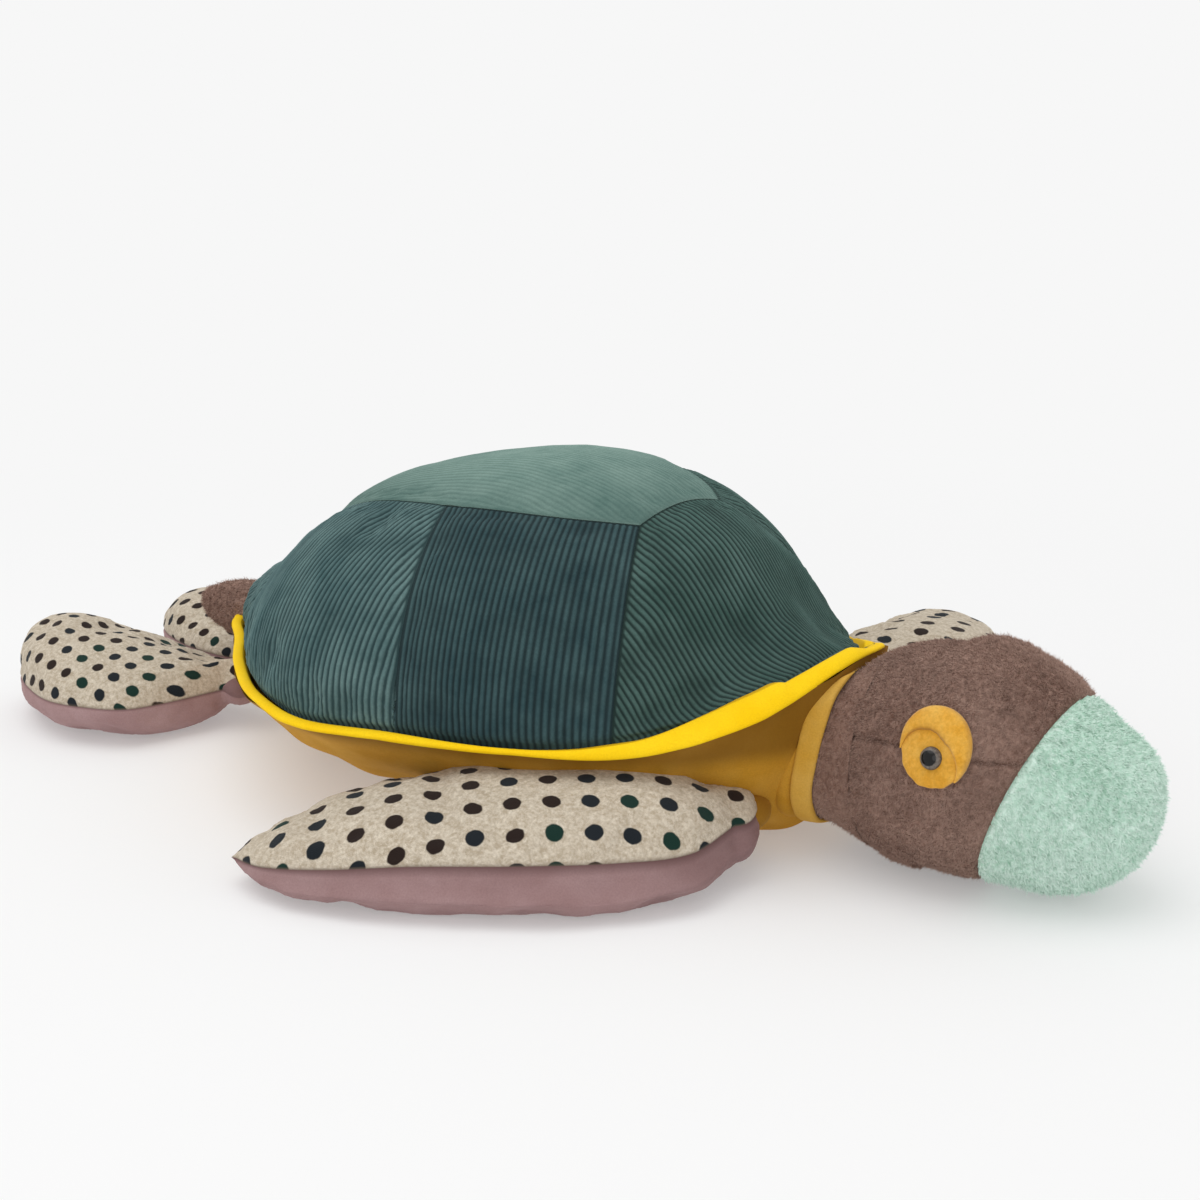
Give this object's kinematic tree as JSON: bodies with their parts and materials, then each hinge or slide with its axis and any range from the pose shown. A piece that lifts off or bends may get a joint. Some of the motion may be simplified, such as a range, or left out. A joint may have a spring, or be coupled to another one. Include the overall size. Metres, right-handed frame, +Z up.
{
  "type": "plush turtle",
  "caption": "Stuffed sea turtle lying flat: corduroy shell over a velour belly, furry head in a collar, pillow flippers and a stub tail.",
  "frame": {"origin": "on the floor under the body's middle, in the centre of the belly's flat resting face", "axes": "+X towards the head, +Y towards the turtle's left, +Z up"},
  "size_m": [0.602, 0.446, 0.1581],
  "materials": {
    "corduroy": "matte",
    "trim": "matte",
    "velour": "satin",
    "fur": "matte",
    "boucle": "matte",
    "dotted_cloth": "matte",
    "mauve_velour": "satin",
    "felt": "matte",
    "stuffing": "matte",
    "eye_plastic": "gloss",
    "washer_plastic": "matte"
  },
  "bodies": {
    "body": {"shell_top_panel": "corduroy", "shell_front_panel": "corduroy", "shell_rear_panel": "corduroy", "shell_right_panel": "corduroy", "shell_left_panel": "corduroy", "shell_right_rear_panel": "corduroy", "shell_left_rear_panel": "corduroy", "shell_trim": "trim", "belly_cover": "velour", "body_stuffing": "stuffing", "collar": "velour", "collar_cuff": "velour"},
    "neck": {"neck_cushion": "stuffing"},
    "head": {"muzzle_cover": "boucle", "head_upper_cover": "fur", "head_lower_cover": "fur", "head_stuffing": "stuffing", "eye_patch_right": "felt", "eye_patch_left": "felt", "eyelid_right": "felt", "eyelid_left": "felt", "eye_right": "eye_plastic", "eye_left": "eye_plastic", "eye_washer_right": "washer_plastic", "eye_washer_left": "washer_plastic"},
    "front_right_root": {"front_flipper_right_gusset": "velour"},
    "front_right_flipper": {"front_flipper_right_stuffing": "stuffing", "front_flipper_right_top_cover": "dotted_cloth", "front_flipper_right_bottom_cover": "mauve_velour"},
    "front_left_root": {"front_flipper_left_gusset": "velour"},
    "front_left_flipper": {"front_flipper_left_stuffing": "stuffing", "front_flipper_left_top_cover": "dotted_cloth", "front_flipper_left_bottom_cover": "mauve_velour"},
    "rear_right_root": {"rear_flipper_right_gusset": "velour"},
    "rear_right_flipper": {"rear_flipper_right_stuffing": "stuffing", "rear_flipper_right_top_cover": "dotted_cloth", "rear_flipper_right_bottom_cover": "mauve_velour"},
    "rear_left_root": {"rear_flipper_left_gusset": "velour"},
    "rear_left_flipper": {"rear_flipper_left_stuffing": "stuffing", "rear_flipper_left_top_cover": "dotted_cloth", "rear_flipper_left_bottom_cover": "mauve_velour"},
    "tail": {"tail_cover": "fur", "tail_stuffing": "stuffing"}
  },
  "joints": [
    {"name": "neck_turn", "type": "hinge", "parent": "body", "child": "neck", "pos_m": [0.212, 0, 0.048], "axis": [0, 0, 1], "range_deg": [-25, 25]},
    {"name": "head_nod", "type": "hinge", "parent": "neck", "child": "head", "pos_m": [0.212, 0, 0.048], "axis": [0, -1, 0], "range_deg": [-20, 25]},
    {"name": "front_right_sweep", "type": "hinge", "parent": "body", "child": "front_right_root", "pos_m": [0.134, -0.05, 0.024], "axis": [0, 0, 1], "range_deg": [-4, 45]},
    {"name": "front_right_flap", "type": "hinge", "parent": "front_right_root", "child": "front_right_flipper", "pos_m": [0.134, -0.05, 0.024], "axis": [-0.6561, 0.7547, 0], "range_deg": [-45, 2]},
    {"name": "front_left_sweep", "type": "hinge", "parent": "body", "child": "front_left_root", "pos_m": [0.134, 0.05, 0.024], "axis": [0, 0, -1], "range_deg": [-6, 8]},
    {"name": "front_left_flap", "type": "hinge", "parent": "front_left_root", "child": "front_left_flipper", "pos_m": [0.134, 0.05, 0.024], "axis": [0.9816, 0.1908, 0], "range_deg": [-50, 2.5]},
    {"name": "rear_right_sweep", "type": "hinge", "parent": "body", "child": "rear_right_root", "pos_m": [-0.172, -0.03, 0.022], "axis": [0, 0, 1], "range_deg": [-4, 25]},
    {"name": "rear_right_flap", "type": "hinge", "parent": "rear_right_root", "child": "rear_right_flipper", "pos_m": [-0.172, -0.03, 0.022], "axis": [-0.2079, 0.9781, 0], "range_deg": [-35, 12]},
    {"name": "rear_left_sweep", "type": "hinge", "parent": "body", "child": "rear_left_root", "pos_m": [-0.172, 0.03, 0.022], "axis": [0, 0, -1], "range_deg": [-2, 28]},
    {"name": "rear_left_flap", "type": "hinge", "parent": "rear_left_root", "child": "rear_left_flipper", "pos_m": [-0.172, 0.03, 0.022], "axis": [0.1219, 0.9925, 0], "range_deg": [-35, 12]},
    {"name": "tail_wag", "type": "hinge", "parent": "body", "child": "tail", "pos_m": [-0.19, 0, 0.06], "axis": [0, 0, 1], "range_deg": [-18, 18]}
  ]
}
